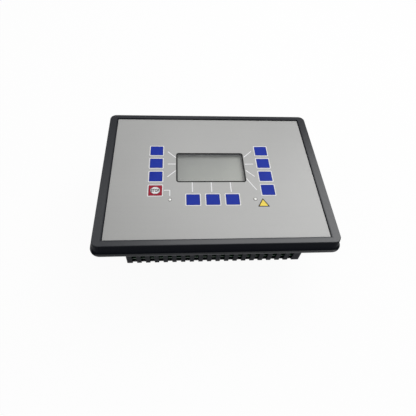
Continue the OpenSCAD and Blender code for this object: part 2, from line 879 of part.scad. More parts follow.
module stacking_connector() {
  color(dark_plastic) translate([0, ribbon_step - processor_h / 2 + header_d, 0]) {
    block(header_w, socket_rows_d, io_front, io_front + pillar_len / 2);
    block(header_w, pin_rows_d, io_front, processor_rear);
  }
}

module ribbon_headers() {
  color(dark_plastic) {
    translate([0, ribbon_step, 0]) block(header_w, header_d, processor_front, ribbon_low);
    block(header_w, header_d, ribbon_high, keypad_rear);
  }
}

// A quarter bend of the ribbon in the YZ plane
module ribbon_arc(turn) {
  rotate([90, 0, 90]) rotate([0, 0, turn])
    translate([0, 0, (2 * screw_inset - header_w) / 2]) linear_extrude(header_w - 2 * screw_inset)
      intersection() {
        difference() {
          circle(ribbon_r + ribbon_t / 2);
          circle(ribbon_r - ribbon_t / 2);
        }
        square(2 * ribbon_r);
      }
}

module ribbon_cable() {
  width = header_w - 2 * screw_inset;
  color([0.55, 0.56, 0.58]) {
    translate([0, ribbon_step, 0]) block(width, ribbon_t, ribbon_low, ribbon_mid - ribbon_r);
    translate([0, ribbon_step - ribbon_r, ribbon_mid - ribbon_r]) ribbon_arc(0);
    translate([0, ribbon_step / 2, 0])
      block(width, ribbon_step - 2 * ribbon_r, ribbon_mid - ribbon_t / 2, ribbon_mid + ribbon_t / 2);
    translate([0, ribbon_r, ribbon_mid + ribbon_r]) ribbon_arc(180);
    block(width, ribbon_t, ribbon_mid + ribbon_r, ribbon_high);
  }
}

// Parts on the back of the rear board, standing in the raised part of the housing
module relays() {
  pitch_w = relay_w + relay_gap_w;
  pitch_d = relay_d + relay_gap_d;
  color([0.20, 0.22, 0.25]) for (ix = [-1:1], iy = [-1:1])
    translate([ix * pitch_w - relay_left, iy * pitch_d, 0])
      block(relay_w, relay_d, io_rear - relay_h, io_rear);
}

module transformers() {
  color([0.14, 0.15, 0.16]) for (i = [-1:1])
    translate([-transformer_left, i * (core_d + core_gap), 0]) {
      block(core_w, core_d, io_rear - core_h, io_rear);
      rod(coil_d, io_rear - core_h - coil_proud, io_rear);
    }
}

module capacitors() {
  color([0.10, 0.13, 0.24]) for (i = [-1.5:1.5])
    translate([can_right, i * can_pitch, 0]) rod(can_d, io_rear - can_len, io_rear);
}

module power_converter() {
  choke_y = converter_d / 2 + choke_gap + choke_d / 2 - converter_drop;
  color([0.16, 0.16, 0.15]) {
    translate([converter_right, -converter_drop, 0])
      block(converter_w, converter_d, io_rear - converter_h, io_rear);
    translate([converter_right, choke_y, 0]) rod(choke_d, io_rear - converter_h, io_rear);
  }
}

module terminal_headers() {
  color([0.10, 0.30, 0.18]) at(block_points) difference() {
    block(block_len, socket_d, io_rear - socket_h, io_rear);
    block(block_len - 2 * socket_wall, socket_d - 2 * socket_wall, io_rear - socket_h - over,
      io_rear - socket_h + socket_cavity);
  }
}

// A plug: nose in its header, bevelled body, wire entries behind and screw openings at the outer side
module terminal_plug() {
  rim = io_rear - socket_h;
  rear = rim - plug_len;
  side = plug_d / 2;
  nose_inset = socket_wall + plug_play;
  difference() {
    union() {
      rotate([90, 0, 90]) linear_extrude(block_len, center = true) polygon([
        [-side, rear], [side - plug_bevel, rear], [side, rear + plug_bevel], [side, rim], [-side, rim]
      ]);
      block(block_len - 2 * nose_inset, socket_d - 2 * nose_inset, rim - over,
        rim + socket_cavity - plug_play);
    }
    for (i = [0:poles - 1]) translate([(i - (poles - 1) / 2) * pole_pitch, 0, 0]) {
      block(wire_w, wire_h, rear - over, rear + wire_depth);
      translate([0, side + over, rim - plug_len / 2 + plug_bevel / 2]) rotate([90, 0, 0])
        cylinder(d = screw_port, h = screw_port_depth + over);
    }
  }
}

module terminal_plugs() {
  color([0.12, 0.36, 0.20]) for (p = block_points)
    translate([p[0], p[1], 0]) rotate([0, 0, p[1] > 0 ? 0 : 180]) terminal_plug();
}

module port_shells() {
  color(steel) for (p = port_points) translate([p[0], p[1], 0]) difference() {
    union() {
      block(flange_short, flange_long, floor_z, floor_z + flange_t);
      translate([0, 0, floor_z - port_len]) linear_extrude(port_len + flange_t / 2) port_plan(0);
    }
    translate([0, 0, floor_z - port_len - over])
      linear_extrude(port_len + flange_t + 2 * over) port_plan(-port_sheet);
  }
}

// Insulator of a port: it fills the shell and stands on the board
module port_inserts() {
  fill = -port_sheet - screw_play;
  color(dark_plastic) for (p = port_points) translate([p[0], p[1], 0]) {
    translate([0, 0, floor_z - port_len + port_sheet])
      linear_extrude(io_rear - floor_z + port_len - port_sheet) port_plan(fill);
    block(port_short + 2 * body_margin, port_long + 2 * body_margin, floor_z + flange_t, io_rear);
  }
}

module nut_inserts() {
  color(brass) at(inserts) difference() {
    rod(insert_d, seat_z, seat_z + insert_len);
    rod(insert_bore, seat_z - over, seat_z + insert_len + over);
  }
}

module panel_gasket() {
  color([0.20, 0.20, 0.20]) gasket_ring(0, seat_z - gasket_proud, seat_z + groove_depth);
}

module housing_screws() {
  shank = ear_t + bezel_t / 2;
  color(steel) at(ear_points) translate([0, 0, seat_z - ear_t]) screw(shank);
}

front_bezel();
front_foil();
display_window();
key_left_1();
key_left_2();
key_left_3();
key_stop();
key_right_1();
key_right_2();
key_right_3();
key_right_4();
key_bottom_1();
key_bottom_2();
key_bottom_3();
status_lamps();
lamp_leds();
lcd_frame();
lcd_cell();
lcd_board();
lcd_spacers();
keypad_board();
key_switches();
keypad_screws();
rear_housing();
io_board();
io_screws();
processor_board();
processor_chips();
backup_battery();
board_pillars();
pillar_screws();
stacking_connector();
ribbon_headers();
ribbon_cable();
relays();
transformers();
capacitors();
power_converter();
terminal_headers();
terminal_plugs();
port_shells();
port_inserts();
nut_inserts();
panel_gasket();
housing_screws();
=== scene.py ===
import json
import math
import bpy
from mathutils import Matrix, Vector


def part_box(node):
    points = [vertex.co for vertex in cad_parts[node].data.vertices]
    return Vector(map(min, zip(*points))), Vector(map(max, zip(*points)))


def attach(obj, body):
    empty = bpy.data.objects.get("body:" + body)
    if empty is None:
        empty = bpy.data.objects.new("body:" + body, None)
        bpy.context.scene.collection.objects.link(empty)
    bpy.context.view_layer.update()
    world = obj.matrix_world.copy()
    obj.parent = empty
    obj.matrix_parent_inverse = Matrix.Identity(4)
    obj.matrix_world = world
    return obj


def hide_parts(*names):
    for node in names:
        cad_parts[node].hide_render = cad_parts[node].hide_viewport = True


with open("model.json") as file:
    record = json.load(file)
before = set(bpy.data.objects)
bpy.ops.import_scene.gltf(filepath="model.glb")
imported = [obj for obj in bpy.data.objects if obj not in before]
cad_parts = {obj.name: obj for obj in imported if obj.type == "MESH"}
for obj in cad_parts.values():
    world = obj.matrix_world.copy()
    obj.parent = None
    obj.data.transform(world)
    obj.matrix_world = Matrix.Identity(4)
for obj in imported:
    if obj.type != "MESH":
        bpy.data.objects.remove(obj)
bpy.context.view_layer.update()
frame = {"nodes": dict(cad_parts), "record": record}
nodes = frame["nodes"]
print("stage: frame loaded,", len(nodes), "solids")


# one socket of a shader, with plain arithmetic
class Link:
    def __init__(self, tree, socket):
        self.tree = tree
        self.socket = socket

    def node(self, kind, settings, sockets, output=0):
        made = self.tree.nodes.new(kind)
        for name, value in settings.items():
            setattr(made, name, value)
        for name, value in sockets.items():
            if isinstance(value, Link):
                self.tree.links.new(value.socket, made.inputs[name])
            else:
                made.inputs[name].default_value = value
        return Link(self.tree, made.outputs[output])

    def math(self, operation, first, second=0.0, clamp=False):
        settings = {"operation": operation, "use_clamp": clamp}
        return self.node("ShaderNodeMath", settings, {0: first, 1: second})

    def __add__(self, other):
        return self.math("ADD", self, other)

    def __sub__(self, other):
        return self.math("SUBTRACT", self, other)

    def __rsub__(self, other):
        return self.math("SUBTRACT", other, self)

    def __mul__(self, other):
        return self.math("MULTIPLY", self, other)

    def __truediv__(self, other):
        return self.math("DIVIDE", self, other)

    def __abs__(self):
        return self.math("ABSOLUTE", self)

    __radd__ = __add__
    __rmul__ = __mul__

    def fraction(self):
        return self.math("FRACT", self)

    def root(self):
        return self.math("SQRT", self)

    def either(self, other):
        return self.math("MAXIMUM", self, other)

    def above(self, low, high):  # 0 below low, 1 above high
        return self.math("MULTIPLY", self - low, 1 / (high - low), clamp=True)

    def tint(self, dark, light):  # this value mixes two colours, at sockets 6 and 7
        return self.node("ShaderNodeMix", {"data_type": "RGBA"}, {0: self, 6: dark, 7: light}, output=2)

    def noise(self, scale, detail=2.0, roughness=0.5):
        sockets = {"Vector": self, "Scale": scale, "Detail": detail, "Roughness": roughness}
        return self.node("ShaderNodeTexNoise", {}, sockets)

    def stretched(self, scale):
        return self.node("ShaderNodeMapping", {}, {"Vector": self, "Scale": scale})

    def split(self):
        made = self.node("ShaderNodeSeparateXYZ", {}, {0: self})
        return [Link(self.tree, socket) for socket in made.socket.node.outputs]

    def bump(self, strength, distance):
        sockets = {"Strength": strength, "Distance": distance, "Height": self}
        return self.node("ShaderNodeBump", {}, sockets)

    def into(self, shader, name):
        self.tree.links.new(self.socket, shader.inputs[name])


def tone(red, green, blue):  # screen values from 0 to 255, made linear
    def linear(value):
        value /= 255
        return value / 12.92 if value <= 0.04045 else ((value + 0.055) / 1.055) ** 2.4
    return (linear(red), linear(green), linear(blue), 1.0)


def startFinish(name, **fixed):
    material = bpy.data.materials.new(name)
    material.use_nodes = True
    tree = material.node_tree
    shader = tree.nodes["Principled BSDF"]
    for socket, value in fixed.items():
        shader.inputs[socket.replace("_", " ")].default_value = value
    place = tree.nodes.new("ShaderNodeTexCoord").outputs["Object"]
    return material, shader, Link(tree, place)


def makeBlackMoulding():
    look = {
        # painted light: the rear tone is paler than the same plastic in front, for light on the housing's
        # ribs
        "dark": tone(8, 10, 16), "light": tone(17, 20, 28), "rear": tone(42, 44, 50),
        # painted light: the up-facing rim top and lip get a paler tone than the walls
        "litTopTone": tone(28, 31, 37), "wornAndHighlit": tone(62, 64, 70),
        "rough": 0.41, "grain": 1900, "cloud": 14, "rub": 90, "lift": (0.22, 0.00012),
        # spans over which a mask fades in: heights from the bezel's top, then from its rear face
        "rimTop": (-0.0006, -0.0001), "rimShoulder": (-0.0015, -0.0006),
        "lipTop": (0.0013, 0.0018), "seat": (-0.0006, 0.0),
        # from the bezel's outline, then from the foil's
        "rimEdge": (-0.0054, -0.0042), "lip": (-0.0026, -0.0020), "lipEdge": (-0.0008, 0.0),
        "rimInner": (0.0004, 0.0025),
        "nearEdgeLight": (-0.1, 0.09),  # the rim top is paler and glossier along the near edge; the paler colour is painted light
    }
    material, shader, place = startFinish("blackMoulding", Specular_IOR_Level=0.03, Coat_Roughness=0.28,
                                          Coat_IOR=1.5)
    low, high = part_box("front_bezel")
    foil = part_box("front_foil")[1]
    x, y, z = place.split()

    def rising(value, level, span):
        return value.above(level + span[0], level + span[1])

    def outside(outline, span):
        return rising(abs(x), outline.x, span).either(rising(abs(y), outline.y, span))

    spark = place.noise(look["grain"], 3.0, 0.6)  # spark-eroded mould grain
    broad = place.noise(look["cloud"], 3.0)
    rubbed = place.noise(look["rub"], 4.0, 0.7).above(0.42, 0.72)
    # painted light: the rim top mask fades towards the far edge, so the far rim is painted darker
    rimTop = rising(z, high.z, look["rimTop"]) * (1 - 0.58 * rising(y, 0.0, look["nearEdgeLight"]))
    rimEdge = rising(z, high.z, look["rimShoulder"]) * outside(high, look["rimEdge"])
    rimInner = outside(foil, look["rimInner"])  # the inner edge stays duller
    lip = outside(high, look["lip"]) * (1 - rising(z, low.z, look["lipTop"]))
    # edge wear and a painted highlight: the rim and lip edges are painted lighter in rubbed patches
    wearAndHighlight = (rimEdge * 0.3 + outside(high, look["lipEdge"]) * 0.5) * (0.35 + 0.65 * rubbed)
    housing = 1 - rising(z, low.z, look["seat"])
    ground = (0.5 * spark + 0.5 * broad).tint(look["dark"], look["light"])
    ground = (housing * (0.4 + 0.5 * spark)).tint(ground, look["rear"])  # the rear part is painted paler: painted light from the right front on its ribs
    # painted light: the rim top and the lip, which face up, are painted paler than the walls
    ground = (0.8 * rimTop + 0.9 * lip).tint(ground, look["litTopTone"])
    wearAndHighlight.tint(ground, look["wornAndHighlit"]).into(shader, "Base Color")
    (look["rough"] + 0.14 * spark + 0.1 * broad).into(shader, "Roughness")
    gloss = rimTop * (0.2 + 0.76 * rimInner) + lip * 0.8 + housing * 0.08
    (gloss * (0.85 + 0.15 * broad)).into(shader, "Coat Weight")
    spark.bump(*look["lift"]).into(shader, "Normal")
    return material


def makeGreyFoil():
    look = {"dark": tone(147, 147, 146), "light": tone(165, 165, 163), "rough": 0.32, "grain": 2600,
            "cloud": 9, "streak": (6, 900, 1), "lift": (0.12, 0.00006)}
    material, shader, place = startFinish("greyFoil", Specular_IOR_Level=0.9)
    fleck = place.noise(look["grain"], 2.0, 0.7)  # fine metallic fleck of the printed ground
    cloud = place.noise(look["cloud"])
    streak = place.stretched(look["streak"]).noise(1.0)
    ground = 0.6 * fleck + 0.3 * cloud + 0.1 * streak
    ground.above(0.3, 0.7).tint(look["dark"], look["light"]).into(shader, "Base Color")
    (look["rough"] + 0.1 * fleck + 0.08 * cloud).into(shader, "Roughness")
    fleck.bump(*look["lift"]).into(shader, "Normal")
    return material


def makeClearSheet(name, haze):
    look = {"dark": tone(186, 188, 190), "light": tone(204, 206, 206), "rough": 0.2, "smear": 40}
    material, shader, place = startFinish(name, Specular_IOR_Level=0.5)
    smear = place.noise(look["smear"], 3.0)
    smear.tint(look["dark"], look["light"]).into(shader, "Base Color")
    (look["rough"] + 0.08 * smear).into(shader, "Roughness")
    (haze + 0.03 * smear).into(shader, "Alpha")
    return material


def makeDisplayCell():
    look = {"low": tone(136, 139, 135), "high": tone(216, 218, 209), "rough": 0.3, "cloud": 22,
            "dot": 0.00065, "dotGap": (0.82, 0.98), "reach": (-0.045, 0.045)}
    material, shader, place = startFinish("displayCell", Specular_IOR_Level=0.35)
    x, y = place.split()[:2]
    cloud = place.noise(look["cloud"])
    slantShading = (0.7 * x - 0.9 * y).above(*look["reach"])  # painted shading: paler towards the lower right, as the display's viewing-angle shading under this light
    rows = (y / look["dot"]).fraction().above(*look["dotGap"])
    columns = (x / look["dot"]).fraction().above(*look["dotGap"])
    ground = 0.6 * slantShading + 0.25 * cloud + 0.15 * rows.either(columns)
    ground.tint(look["low"], look["high"]).into(shader, "Base Color")
    (look["rough"] + 0.12 * cloud).into(shader, "Roughness")
    return material


def makeKeyPrint(name, deep, pale):
    look = {"rough": 0.36, "grain": 2400, "cloud": 60, "lift": (0.1, 0.00006)}
    material, shader, place = startFinish(name, Specular_IOR_Level=0.12)
    fleck = place.noise(look["grain"], 2.0, 0.7)
    cloud = place.noise(look["cloud"], 3.0)
    (0.45 * fleck + 0.55 * cloud).above(0.25, 0.75).tint(deep, pale).into(shader, "Base Color")
    (look["rough"] + 0.12 * fleck).into(shader, "Roughness")
    fleck.bump(*look["lift"]).into(shader, "Normal")
    return material


def makeLampLens():
    look = {"pale": tone(240, 240, 236), "clear": tone(252, 252, 249), "rim": tone(92, 88, 86),
            "rough": 0.16, "cloud": 700, "rimFrom": (0.0016, 0.0017)}
    material, shader, place = startFinish("milkyLens", Coat_Weight=0.5, Coat_Roughness=0.08)
    cloud = place.noise(look["cloud"])
    low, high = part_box("status_lamps")
    centre, collar = (low + high) / 2, (high.y - low.y) / 2
    x, y = place.split()[:2]
    across = abs(x - centre.x) - (high.x - centre.x - collar)  # from the middle of the nearer lens
    along = y - centre.y
    # painted shade: a dark ring round the edge of each lens
    rim = (across * across + along * along).root().above(*look["rimFrom"])
    rim.tint(cloud.tint(look["pale"], look["clear"]), look["rim"]).into(shader, "Base Color")
    (look["rough"] + 0.1 * cloud).into(shader, "Roughness")
    return material


def makeGreenBoard():
    look = {"mask": tone(14, 48, 30), "maskLight": tone(24, 66, 42), "trace": tone(40, 92, 60),
            "rough": 0.34, "cloud": 30, "pitch": 0.0024, "wander": 60, "patch": 45,
            "lift": (0.3, 0.00005)}
    material, shader, place = startFinish("solderMask", Specular_IOR_Level=0.3)
    x = place.split()[0]
    line = (x / look["pitch"] + 1.4 * place.noise(look["wander"], 1.0)).fraction()
    traces = line.above(0.62, 0.7) * place.noise(look["patch"], 0.0).above(0.47, 0.5)
    cloud = place.noise(look["cloud"], 3.0)
    ground = cloud.tint(look["mask"], look["maskLight"])
    traces.tint(ground, look["trace"]).into(shader, "Base Color")
    (look["rough"] + 0.15 * cloud).into(shader, "Roughness")
    traces.bump(*look["lift"]).into(shader, "Normal")
    return material


def makePlain(name, dark, light, rough, grain=1500, lift=0.15, **fixed):
    look = {"cloud": 25, "depth": 0.0001}
    material, shader, place = startFinish(name, **fixed)
    fine = place.noise(grain, 3.0, 0.6)
    broad = place.noise(look["cloud"])
    (0.55 * fine + 0.45 * broad).above(0.25, 0.75).tint(dark, light).into(shader, "Base Color")
    (rough + 0.14 * fine + 0.08 * broad).into(shader, "Roughness")
    fine.bump(lift, look["depth"]).into(shader, "Normal")
    return material


def makePrint(name, dark, light, rough=0.4, **fixed):  # ink on the front foil
    return makePlain(name, dark, light, rough, grain=2600, lift=0.05, **fixed)


def makeBrushed(name, dark, light):
    look = {"rough": 0.24, "streak": (1, 1, 14), "grain": 260, "cloud": 70, "lift": (0.12, 0.00005)}
    material, shader, place = startFinish(name, Metallic=1.0)
    streak = place.stretched(look["streak"]).noise(look["grain"], 3.0, 0.6)
    cloud = place.noise(look["cloud"], 3.0)
    (0.6 * streak + 0.4 * cloud).above(0.25, 0.75).tint(dark, light).into(shader, "Base Color")
    (look["rough"] + 0.2 * streak).into(shader, "Roughness")
    streak.bump(*look["lift"]).into(shader, "Normal")
    return material


def makeRibbon():
    look = {"core": tone(150, 152, 156), "groove": tone(96, 98, 102), "rough": 0.45, "pitch": 0.00127,
            "lift": (0.6, 0.0003)}
    material, shader, place = startFinish("ribbonCable")
    x = place.split()[0]
    groove = abs((x / look["pitch"]).fraction() - 0.5).above(0.36, 0.5)
    # painted shade: the grooves between the wires are coloured darker
    groove.tint(look["core"], look["groove"]).into(shader, "Base Color")
    (look["rough"] + 0.2 * groove).into(shader, "Roughness")
    (1 - groove).bump(*look["lift"]).into(shader, "Normal")
    return material


blackMoulding = makeBlackMoulding()
greyFoil = makeGreyFoil()
clearPane = makeClearSheet("clearPane", 0.02)
foilWindow = makeClearSheet("foilWindow", 0.05)
displayCell = makeDisplayCell()
blueKey = makeKeyPrint("blueKeyPrint", tone(4, 34, 148), tone(15, 50, 168))
redKey = makeKeyPrint("redKeyPrint", tone(146, 20, 44), tone(168, 32, 56))
milkyLens = makeLampLens()
solderMask = makeGreenBoard()
blackParts = makePlain("blackParts", tone(22, 22, 24), tone(40, 40, 43), 0.5)
brightSteel = makeBrushed("brightSteel", tone(168, 170, 174), tone(204, 206, 210))
turnedBrass = makeBrushed("turnedBrass", tone(176, 140, 70), tone(212, 178, 100))
greenTerminals = makePlain("greenTerminals", tone(30, 96, 58), tone(44, 120, 74), 0.44)
ribbonGrey = makeRibbon()
blueSleeve = makePlain("blueSleeve", tone(22, 30, 66), tone(34, 44, 86), 0.28)
blackRubber = makePlain("blackRubber", tone(20, 20, 21), tone(40, 40, 41), 0.72, grain=2600, lift=0.4)
whitePrint = makePrint("whitePrint", tone(222, 222, 224), tone(242, 242, 243))
darkPrint = makePrint("darkPrint", tone(20, 19, 21), tone(36, 35, 37), 0.5, Specular_IOR_Level=0.1)
yellowPrint = makePrint("yellowPrint", tone(240, 206, 52), tone(250, 228, 86))

slotFinish = {
    "black_housing": blackMoulding, "grey_foil": greyFoil, "clear_pane": clearPane,
    "display_cell": displayCell, "blue_key": blueKey, "red_key": redKey, "lamp_lens": milkyLens,
    "green_board": solderMask, "black_parts": blackParts, "bright_steel": brightSteel,
    "brass_inserts": turnedBrass, "green_terminals": greenTerminals, "grey_ribbon": ribbonGrey,
    "blue_sleeve": blueSleeve, "black_rubber": blackRubber,
}
for part in frame["record"]["subparts"]:
    for materialSlot in nodes[part["node"]].material_slots:
        materialSlot.material = slotFinish[part["material_slot"]]
print("stage: finishes on", len(nodes), "solids")


def deselect():
    if bpy.context.object and bpy.context.object.mode != "OBJECT":
        bpy.ops.object.mode_set(mode="OBJECT")
    bpy.ops.object.select_all(action="DESELECT")


def activate(piece):
    deselect()
    piece.select_set(True)
    bpy.context.view_layer.objects.active = piece


def applyPlace(piece):
    activate(piece)
    bpy.ops.object.transform_apply(location=True, rotation=True, scale=True)


def thicken(piece, amount):
    activate(piece)
    modifier = piece.modifiers.new("thickness", "SOLIDIFY")
    modifier.thickness = amount
    modifier.offset = 1.0
    bpy.ops.object.modifier_apply(modifier=modifier.name)


def cutWith(piece, cutter):
    activate(piece)
    modifier = piece.modifiers.new("cut", "BOOLEAN")
    modifier.operation = "DIFFERENCE"
    modifier.object = cutter
    bpy.ops.object.modifier_apply(modifier=modifier.name)
    bpy.data.objects.remove(cutter)


def roundCorners(piece, amount, segments):  # of a flat face
    activate(piece)
    bpy.ops.object.mode_set(mode="EDIT")
    bpy.ops.mesh.select_all(action="SELECT")
    bpy.ops.mesh.bevel(offset=amount, segments=segments, affect="VERTICES")
    bpy.ops.object.mode_set(mode="OBJECT")


def openMiddle(piece, width):  # leaves a ring of this width from a flat face
    activate(piece)
    bpy.ops.object.mode_set(mode="EDIT")
    bpy.ops.mesh.select_mode(type="FACE")
    bpy.ops.mesh.select_all(action="SELECT")
    bpy.ops.mesh.inset(thickness=width, depth=0)
    bpy.ops.mesh.delete(type="FACE")
    bpy.ops.object.mode_set(mode="OBJECT")


def bevelEnd(piece, level, amount, segments=2):  # rounds the edges of the end at z = level
    activate(piece)
    bpy.ops.object.mode_set(mode="EDIT")
    bpy.ops.mesh.select_mode(type="EDGE")
    bpy.ops.mesh.select_all(action="DESELECT")
    bpy.ops.object.mode_set(mode="OBJECT")
    corners = piece.data.vertices
    for edge in piece.data.edges:
        edge.select = all(abs(corners[index].co.z - level) < 1e-6 for index in edge.vertices)
    bpy.ops.object.mode_set(mode="EDIT")
    bpy.ops.mesh.bevel(offset=amount, segments=segments)
    bpy.ops.object.mode_set(mode="OBJECT")


def makeLeaf(size, corner, segments=6):  # flat face with rounded corners, lying on z = 0
    deselect()
    bpy.ops.mesh.primitive_plane_add(size=1)
    piece = bpy.context.object
    piece.scale = (size[0], size[1], 1)
    applyPlace(piece)
    roundCorners(piece, corner, segments)
    return piece


def makeFrame(inside, width, corner, film):  # ring of this width, with this outer corner
    piece = makeLeaf([side + 2 * width for side in inside], corner)
    openMiddle(piece, width)
    thicken(piece, film)
    return piece


def makeRod(radius, low, high, sides):  # upright, from z = low to z = high
    deselect()
    bpy.ops.mesh.primitive_cylinder_add(vertices=sides, radius=radius, depth=high - low,
                                        location=(0, 0, (low + high) / 2))
    rod = bpy.context.object
    applyPlace(rod)
    return rod


def makeBar(size, turn):  # cutter for a slot across the end at z = 0
    deselect()
    bpy.ops.mesh.primitive_cube_add(size=1)
    bar = bpy.context.object
    bar.scale = (size[0], size[1], 2 * size[2])
    bar.rotation_euler = (0, 0, turn)
    applyPlace(bar)
    return bar


def joinAs(name, pieces):
    deselect()
    for piece in pieces:
        piece.select_set(True)
    bpy.context.view_layer.objects.active = pieces[0]
    bpy.ops.object.join()
    joined = bpy.context.object
    joined.name = name
    joined.data.name = name
    return joined


def copyTo(piece, place, turn):
    other = piece.copy()
    other.data = piece.data.copy()
    bpy.context.scene.collection.objects.link(other)
    other.location = place
    other.rotation_euler = (0, 0, turn)
    applyPlace(other)
    return other


def copyAll(name, pattern, places):  # one joined piece from (place, turn) pairs
    copies = [copyTo(pattern, place, turn) for place, turn in places]
    bpy.data.objects.remove(pattern)
    return joinAs(name, copies)


def dress(piece, material, body):
    piece.data.materials.clear()
    piece.data.materials.append(material)
    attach(piece, body)


def middle(node):
    low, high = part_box(node)
    return (low + high) / 2


keyNames = [name for name in nodes if name.startswith("key_") and name != "key_switches"]
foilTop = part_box("front_foil")[1].z
print("stage: helpers ready,", len(keyNames), "keys")


# white printed frames round the keys, whose collars behind the foil are wider than their faces
keyFrame = {"collar": 0.0016, "margin": 0.0003, "width": 0.00108, "corner": 0.0014, "film": 0.00004}


def makeKeyFrames():
    low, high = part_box("key_stop")
    inside = [high[i] - low[i] - 2 * keyFrame["collar"] + 2 * keyFrame["margin"] for i in (0, 1)]
    pattern = makeFrame(inside, keyFrame["width"], keyFrame["corner"], keyFrame["film"])
    places = [((middle(name).x, middle(name).y, foilTop), 0.0) for name in keyNames]
    dress(copyAll("keyFrames", pattern, places), whitePrint, "unit")


makeKeyFrames()
print("stage: key frames", len(keyNames))


# printed lead lines, their ends in millimetres on the face
leadLines = {
    "width": 0.00125, "endRound": 0.3, "films": (0.00004, 0.00006),
    "ends": [
        ((-57.5, 34.8), (-47.3, 24.4)), ((-57.2, 13.2), (-47.3, 13.2)), ((-57.6, -8.0), (-47.3, 2.2)),
        ((51.8, 35.9), (40.7, 25.0)), ((51.9, 13.2), (40.8, 13.0)), ((50.9, -7.7), (40.7, 2.7)),
        ((50.9, -29.3), (40.2, -11.0)),
        ((-27.3, -16.8), (-27.4, -31.6)), ((-4.2, -16.9), (-4.2, -31.6)), ((19.2, -17.0), (19.3, -31.7)),
        ((-61.4, -28.9), (-54.4, -28.9)), ((-54.4, -28.5), (-54.4, -37.7)),
    ],
}


def makeLine(start, end, film):
    run = end - start
    width = leadLines["width"]
    piece = makeLeaf((run.length, width), width * leadLines["endRound"], segments=2)
    thicken(piece, film)
    piece.rotation_euler = (0, 0, math.atan2(run.y, run.x))
    piece.location = (*((start + end) / 2), foilTop)
    applyPlace(piece)
    return piece


lines = []
for number, ends in enumerate(leadLines["ends"]):
    start, end = [Vector(point) / 1000 for point in ends]
    film = leadLines["films"][number % 2]  # the two lines of the elbow cross at different heights
    lines.append(makeLine(start, end, film))
dress(joinAs("leadLines", lines), whitePrint, "unit")
print("stage: lead lines", len(lines))


# printed triangle beside the right lamp
triangle = {"base": 0.0143, "centre": (0.0561, -0.0500), "border": 0.0011, "round": 0.09, "film": 0.00004}


def makeTriangle(name, radius, thickness):
    deselect()
    bpy.ops.mesh.primitive_circle_add(vertices=3, radius=radius, fill_type="NGON")
    piece = bpy.context.object
    roundCorners(piece, radius * triangle["round"], segments=3)
    thicken(piece, thickness)
    piece.name = name
    piece.location = (*triangle["centre"], foilTop)
    applyPlace(piece)
    return piece


outerRadius = triangle["base"] / math.sqrt(3)
innerRadius = outerRadius - 2 * triangle["border"]
border = makeTriangle("triangleBorder", outerRadius, triangle["film"])
field = makeTriangle("triangleField", innerRadius, 2 * triangle["film"])
dress(border, darkPrint, "unit")
dress(field, yellowPrint, "unit")
print("stage: triangle")


# clear part of the foil over the display, and the dark line printed round it
window = {"paneLap": 0.002, "gap": 0.00005, "corner": 0.0026, "depth": 0.00025, "film": 0.00005,
          "line": 0.0017, "lineOut": 0.0005, "lineCorner": 0.0034}


def makeWindow():
    low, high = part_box("display_window")
    size = [high[i] - low[i] - 2 * window["paneLap"] - 2 * window["gap"] for i in (0, 1)]
    centre = middle("display_window")
    sheet = makeLeaf(size, window["corner"])
    thicken(sheet, window["film"])
    inside = [side + 2 * (window["lineOut"] - window["line"]) for side in size]
    line = makeFrame(inside, window["line"], window["lineCorner"], window["film"])
    sheetLevel = foilTop - window["depth"]
    for piece, name, level in ((sheet, "foilWindow", sheetLevel), (line, "windowLine", foilTop)):
        piece.name = name
        piece.location = (centre.x, centre.y, level)
        applyPlace(piece)
    dress(sheet, foilWindow, "unit")
    dress(line, darkPrint, "unit")


makeWindow()
print("stage: display window")


# printed eight-sided sign and word on the stop key; the type is sized from the word's height
stopSign = {"across": 0.0116, "squat": 0.94, "round": 0.06, "line": 0.0005, "film": 0.00003,
            "word": (0.0096, 0.0047), "typeSize": 1.4, "bold": 0.0003, "spacing": 1.14}


def makeOctagon(name, across, low, thickness):
    deselect()
    halfAngle = math.pi / 8  # of one of the eight sides
    radius = across / 2 / math.cos(halfAngle)
    bpy.ops.mesh.primitive_circle_add(vertices=8, radius=radius, fill_type="NGON",
                                      rotation=(0, 0, halfAngle))
    piece = bpy.context.object
    applyPlace(piece)
    roundCorners(piece, across * stopSign["round"], segments=3)
    thicken(piece, thickness)
    piece.name = name
    piece.scale = (1, stopSign["squat"], 1)
    centre = middle("key_stop")
    piece.location = (centre.x, centre.y, low)
    applyPlace(piece)
    return piece


def makeWord(name, word, low):
    deselect()
    bpy.ops.object.text_add()
    piece = bpy.context.object
    piece.name = name
    piece.data.body = word
    piece.data.align_x = "CENTER"
    piece.data.align_y = "CENTER"
    piece.data.size = stopSign["word"][1] * stopSign["typeSize"]
    piece.data.offset = stopSign["bold"]
    piece.data.space_character = stopSign["spacing"]
    piece.data.extrude = stopSign["film"] / 2
    bpy.ops.object.convert(target="MESH")
    piece = bpy.context.object
    centre = middle("key_stop")
    stretch, place = [1, 1, 1], [centre.x, centre.y, low + stopSign["film"] / 2]
    for i in (0, 1):  # the word fills its width and height about the key's middle
        ends = [corner.co[i] for corner in piece.data.vertices]
        stretch[i] = stopSign["word"][i] / (max(ends) - min(ends))
        place[i] -= stretch[i] * (max(ends) + min(ends)) / 2
    piece.scale = stretch
    piece.location = place
    applyPlace(piece)
    return piece


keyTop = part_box("key_stop")[1].z
discTop = keyTop + 2 * stopSign["film"]
ring = makeOctagon("stopRing", stopSign["across"], keyTop, stopSign["film"])
disc = makeOctagon("stopDisc", stopSign["across"] - 2 * stopSign["line"], keyTop, discTop - keyTop)
word = makeWord("stopWord", "STOP", discTop)
dress(ring, darkPrint, "key_stop")
dress(disc, whitePrint, "key_stop")
dress(word, darkPrint, "key_stop")
print("stage: stop sign")


